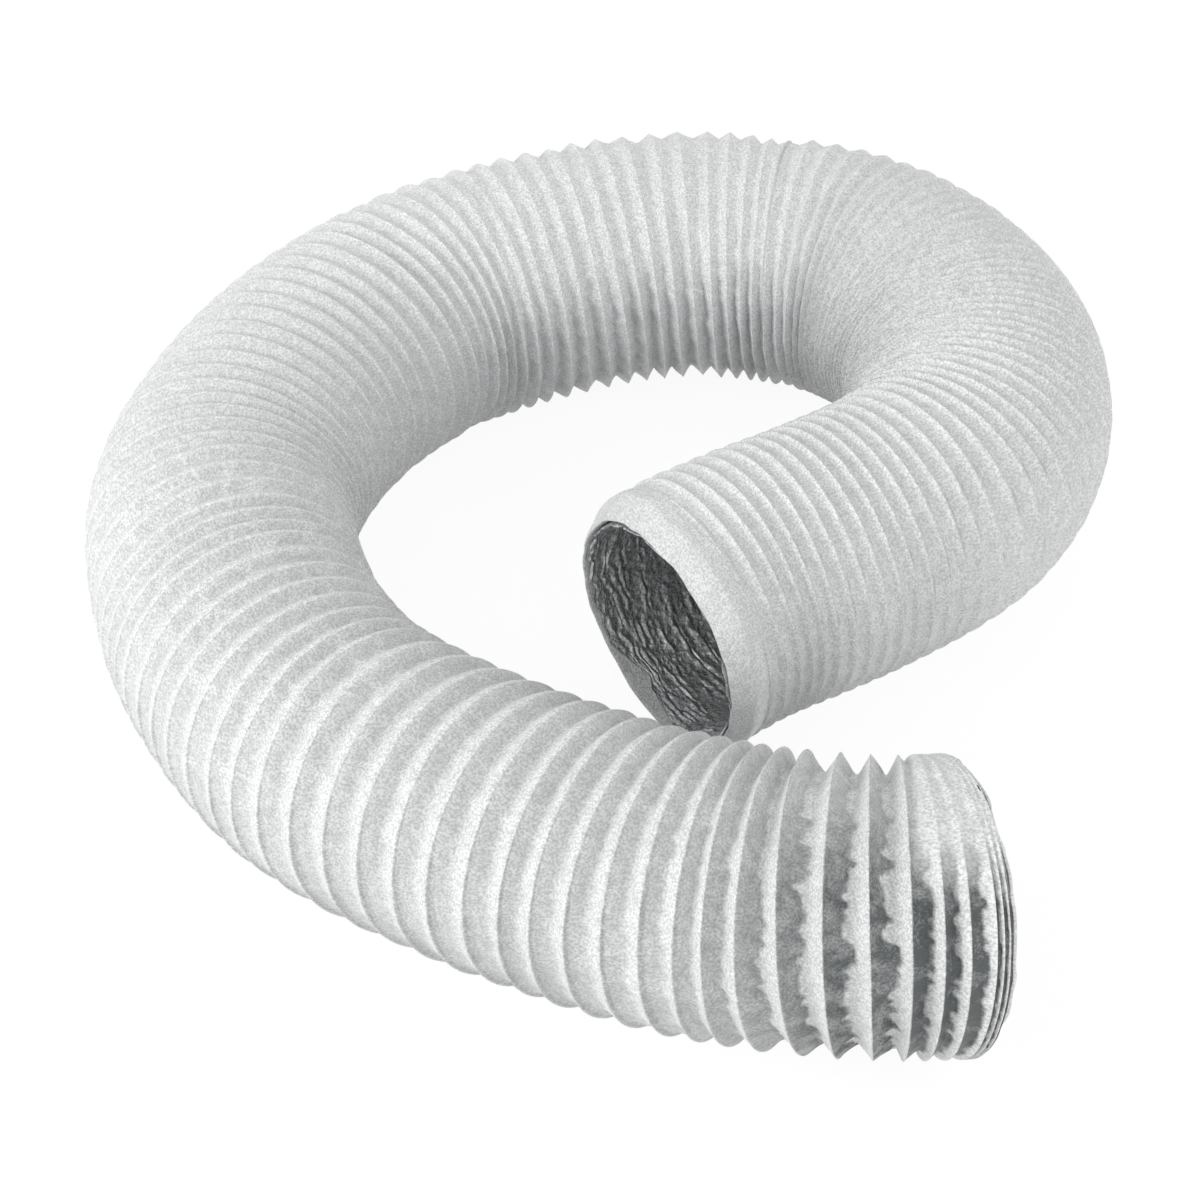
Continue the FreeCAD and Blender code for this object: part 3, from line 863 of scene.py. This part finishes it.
class DUCT_OT_film(bpy.types.Operator):
    """Build the ribbed film sheath"""

    bl_idname = "duct.film"
    bl_label = "Film Sheath"

    def execute(self, context):
        route, sizes, colours = settings()
        film = film_material(colours)
        for name, first, last, bodies in LENGTHS:
            start, end = route.reach(*first), route.reach(*last)
            replaced = nodes_of(route, "sheath_", start, end)
            if name == "front":
                start += sizes.front_fold
            if name == "mouth":
                end -= sizes.mouth_fold
            piece = tube_piece(
                "film_" + name, route, sheath_surface, sizes, start, end, fine=sizes.row_spacing, fewest=5,
                columns=sizes.front_columns if name == "front" else sizes.columns, hidden_radius=sizes.wall_radius,
                outwards=True, edge=set_in if name == "front" else None,
            )
            piece.data.materials.append(film)
            hang_on_bodies(piece, route, name, bodies)
            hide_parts(*replaced)
        return {"FINISHED"}


class DUCT_OT_foil(bpy.types.Operator):
    """Build the crinkled foil liner"""

    bl_idname = "duct.foil"
    bl_label = "Foil Liner"

    def execute(self, context):
        route, sizes, colours = settings()
        foil = foil_material(colours)
        for name, first, last, bodies in LENGTHS:
            start, end = route.reach(*first), route.reach(*last)
            replaced = nodes_of(route, "liner_", start, end)
            if name == "front":
                start += FOIL_START
            piece = tube_piece(
                "foil_" + name, route, liner_surface, sizes, start, end, fine=FINE_FOIL_ROWS.get(name, FOIL_ROW),
                fewest=1, columns=sizes.foil_columns, hidden_radius=sizes.wall_radius - WALL_GAP, outwards=False,
                edge=torn_back,
            )
            piece.data.materials.append(foil)
            hang_on_bodies(piece, route, name, bodies)
            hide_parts(*replaced)
        return {"FINISHED"}


def lip_rows(profile, count):
    """Evenly spaced points along a profile of (back from the rim, radius) corners, rounded by a running mean of
    five."""
    profile = np.array(profile) * MM
    steps = np.concatenate([[0.0], np.cumsum(np.linalg.norm(np.diff(profile, axis=0), axis=1))])
    even = np.linspace(0, steps[-1], count)
    line = np.stack([np.interp(even, steps, profile[:, 0]), np.interp(even, steps, profile[:, 1])], axis=-1)
    padded = np.pad(line, ((2, 2), (0, 0)), mode="edge")
    return sum(padded[i : i + count] for i in range(5)) / 5


def lip_piece(name, route, sizes, rim, inwards, profile, seed):
    """Folded film at an end of the hose: a profile of distance back from the rim and radius, carried round the hose.
    Slow noise bends it out of round and creases run across it. The hidden side is the same profile, set inwards."""
    line = lip_rows(profile, LIP_POINTS)
    turns = (np.arange(sizes.columns) / sizes.columns)[None, :]
    back, radius = line[:, :1] + 0 * turns, line[:, 1:] + 0 * turns
    share = np.linspace(0, 1, len(line))[:, None]
    amount = np.sin(np.pi * share) ** 0.5 * np.clip((0.75 - share) / 0.15, 0, 1)
    dents = noise(share * 3.0 + 3, turns, 9, seed) + 0.5 * noise(share * 6.0, turns, 22, seed + 1)
    lines = creases(share * 1.3 + 2, turns, 11, seed + 2)
    radius = radius + amount * (0.7 * dents + 0.55 * lines) * MM
    at_rim = np.exp(-back / (3 * MM))
    radius = radius - 0.6 * MM * at_rim * noise(0 * share + 4, turns, 64, seed + 4)
    back = back + 0.6 * MM * noise(0 * share, turns, 7, seed + 3)
    back = back + 0.9 * MM * at_rim * noise(share, turns, 46, seed + 5)
    points = place(route, rim + inwards * back, turns + 0 * back, radius)
    sign = 1 if inwards < 0 else -1
    normals = sign * normals_of(points)
    hidden = points - normals * 0.5 * MM
    skin = straight(rim + inwards * back, turns, radius)
    # The folds get a fixed share of the valleys' painted shade and none of the painted dark shade.
    extras = {"painted_valley_shade": 0.7 * np.ones_like(radius), "seam": 0 * radius, "painted_dark_shade": 0 * radius}
    return shell_mesh(name, points, hidden, normals, -normals, skin, extras, inwards < 0)


class DUCT_OT_lips(bpy.types.Operator):
    """Build the folded film at the mouth and at the front rim"""

    bl_idname = "duct.lips"
    bl_label = "Folded Ends"

    def execute(self, context):
        route, sizes, colours = settings()
        film = film_material(colours)
        film.name = "Folded Film"
        mouth = lip_piece("lip_mouth", route, sizes, route.length, -1, MOUTH_LIP, 31)
        front = lip_piece("lip_front", route, sizes, 0.0, 1, FRONT_LIP, 41)
        for piece, body, node in ((mouth, "mouth_end", "mouth_cuff"), (front, "front_end", "front_cuff")):
            piece.data.materials.append(film)
            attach(piece, body)
            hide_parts(node)
        return {"FINISHED"}


def wire_ring(name, route, sizes, distance, ring_radius):
    """Last turn of the spring wire in a fold: a circle carried round the hose as a thin tube, open for a short way,
    with its two cut ends closed."""
    along_wire = np.linspace(WIRE_GAP, 1 - WIRE_GAP, WIRE_POINTS)[:, None]
    round_wire = 2 * np.pi * (np.arange(WIRE_SIDES) / WIRE_SIDES)[None, :]
    radius = ring_radius + sizes.wire_thickness / 2 * np.cos(round_wire)
    offset = sizes.wire_thickness / 2 * np.sin(round_wire)
    points = place(route, distance + offset, along_wire + 0 * round_wire, radius + 0 * along_wire)
    rows, columns = points.shape[:2]
    index = np.arange(rows * columns).reshape(rows, columns)
    beside = np.roll(index, -1, axis=1)
    sides = np.stack([index[:-1], index[1:], beside[1:], beside[:-1]], axis=-1).reshape(-1, 4)
    faces = sides.tolist() + [index[0].tolist(), index[-1][::-1].tolist()]
    mesh = bpy.data.meshes.new(name)
    mesh.from_pydata(points.reshape(-1, 3).tolist(), [], faces)
    mesh.polygons.foreach_set("use_smooth", [True] * len(sides) + [False] * 2)
    piece = bpy.data.objects.new(name, mesh)
    bpy.context.scene.collection.objects.link(piece)
    return piece


class DUCT_OT_wire(bpy.types.Operator):
    """Lay the last turn of wire in the fold at each end"""

    bl_idname = "duct.wire"
    bl_label = "Wire Ends"

    def execute(self, context):
        route, sizes, _ = settings()
        steel = steel_material()
        front = wire_ring("wire_front", route, sizes, FRONT_WIRE[0] * MM, FRONT_WIRE[1] * MM)
        mouth = wire_ring("wire_mouth", route, sizes, route.length - MOUTH_WIRE[0] * MM, MOUTH_WIRE[1] * MM)
        for piece, body, node in ((front, "front_end", "front_wire_end"), (mouth, "mouth_end", "mouth_wire_end")):
            piece.data.materials.append(steel)
            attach(piece, body)
            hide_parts(node)
        return {"FINISHED"}


def set_up(name, data, stands_at, looks_at):
    """Put a lamp or a camera at one point, looking at another."""
    holder = bpy.data.objects.new(name, data)
    holder.location = stands_at
    holder.rotation_euler = (Vector(looks_at) - Vector(stands_at)).to_track_quat("-Z", "Y").to_euler()
    bpy.context.scene.collection.objects.link(holder)
    return holder


def floor_material():
    """Pale matt floor. The camera and mirrors see it nearly white, with the hose's shadow left in it."""
    made, tree, shader = material("Pale Floor", (0.9, 0.9, 0.9), 0.9)
    fill_in(shader, {"Specular IOR Level": 0.1})
    glow = fill_in(tree.nodes.new("ShaderNodeEmission"), {"Strength": 1.05})
    blend = tree.nodes.new("ShaderNodeMixShader")
    path = tree.nodes.new("ShaderNodeLightPath")
    seen = maths(tree, "MAXIMUM", path.outputs["Is Camera Ray"], path.outputs["Is Glossy Ray"])
    seen = maths(tree, "MAXIMUM", seen, path.outputs["Is Transmission Ray"])
    tree.links.new(maths(tree, "MULTIPLY", seen, 0.88), blend.inputs["Fac"])
    tree.links.new(shader.outputs["BSDF"], blend.inputs[1])
    tree.links.new(glow.outputs["Emission"], blend.inputs[2])
    tree.links.new(blend.outputs["Shader"], tree.nodes["Material Output"].inputs["Surface"])
    return made


def room():
    """Soft white room: dim as a lamp and in reflections, plain white where the camera looks into it."""
    made = bpy.data.worlds.new("Room")
    made.use_nodes = True
    tree = made.node_tree
    path = tree.nodes.new("ShaderNodeLightPath")
    seen = maths(tree, "MAXIMUM", path.outputs["Is Camera Ray"], path.outputs["Is Transmission Ray"])
    strength = maths(tree, "MULTIPLY_ADD", seen, 1.0 - ROOM_LIGHT, ROOM_LIGHT)
    tree.nodes["Background"].inputs["Color"].default_value = (1, 1, 1, 1)
    tree.links.new(strength, tree.nodes["Background"].inputs["Strength"])
    return made


class DUCT_OT_stage(bpy.types.Operator):
    """Lay the floor and set the lamps and the camera"""

    bl_idname = "duct.stage"
    bl_label = "Stage"

    def execute(self, context):
        scene = context.scene
        bpy.ops.mesh.primitive_plane_add(size=12, location=(0, 0, -0.4 * MM))
        floor = context.object
        floor.name = "floor"
        floor.data.materials.append(floor_material())
        for name, stands_at, size, power in LAMPS:
            lamp = bpy.data.lights.new(name, "AREA")
            lamp.size = size
            lamp.energy = power
            set_up(name, lamp, stands_at, LAMPS_SEE)
        scene.world = room()
        lens = bpy.data.cameras.new("camera")
        lens.lens = LENS
        lens.sensor_width = 36.0
        scene.camera = set_up("camera", lens, CAMERA_AT, CAMERA_SEES)
        scene.view_settings.view_transform = "Standard"
        return {"FINISHED"}


class DUCT_PT_panel(bpy.types.Panel):
    """Sizes, colours and the steps that build the hose"""

    bl_label = "Air Duct"
    bl_idname = "DUCT_PT_panel"
    bl_space_type = "VIEW_3D"
    bl_region_type = "UI"
    bl_category = "Air Duct"

    def draw(self, context):
        layout = self.layout
        for group in (context.scene.duct_sizes, context.scene.duct_colours):
            for name in group.__annotations__:
                layout.prop(group, name)
        for operator in STEPS:
            layout.operator(operator)


CLASSES = (
    DuctSizes, DuctColours, DUCT_OT_film, DUCT_OT_foil, DUCT_OT_lips, DUCT_OT_wire, DUCT_OT_stage, DUCT_PT_panel,
)
STEPS = ("duct.stage", "duct.film", "duct.foil", "duct.lips", "duct.wire")


def register():
    """Make the classes and the settings known."""
    for made in CLASSES:
        bpy.utils.register_class(made)
    bpy.types.Scene.duct_sizes = PointerProperty(type=DuctSizes)
    bpy.types.Scene.duct_colours = PointerProperty(type=DuctColours)


def unregister():
    """Take the settings and the classes out again."""
    del bpy.types.Scene.duct_colours
    del bpy.types.Scene.duct_sizes
    for made in reversed(CLASSES):
        bpy.utils.unregister_class(made)


def plain(box):
    """A box as lists of numbers."""
    return [[float(value) for value in corner] for corner in box]


def main():
    """Build everything in order."""
    register()
    crinkle_group()
    for operator in STEPS:
        family, name = operator.split(".")
        getattr(getattr(bpy.ops, family), name)()
    bpy.context.view_layer.update()


if __name__ == "__main__":
    main()
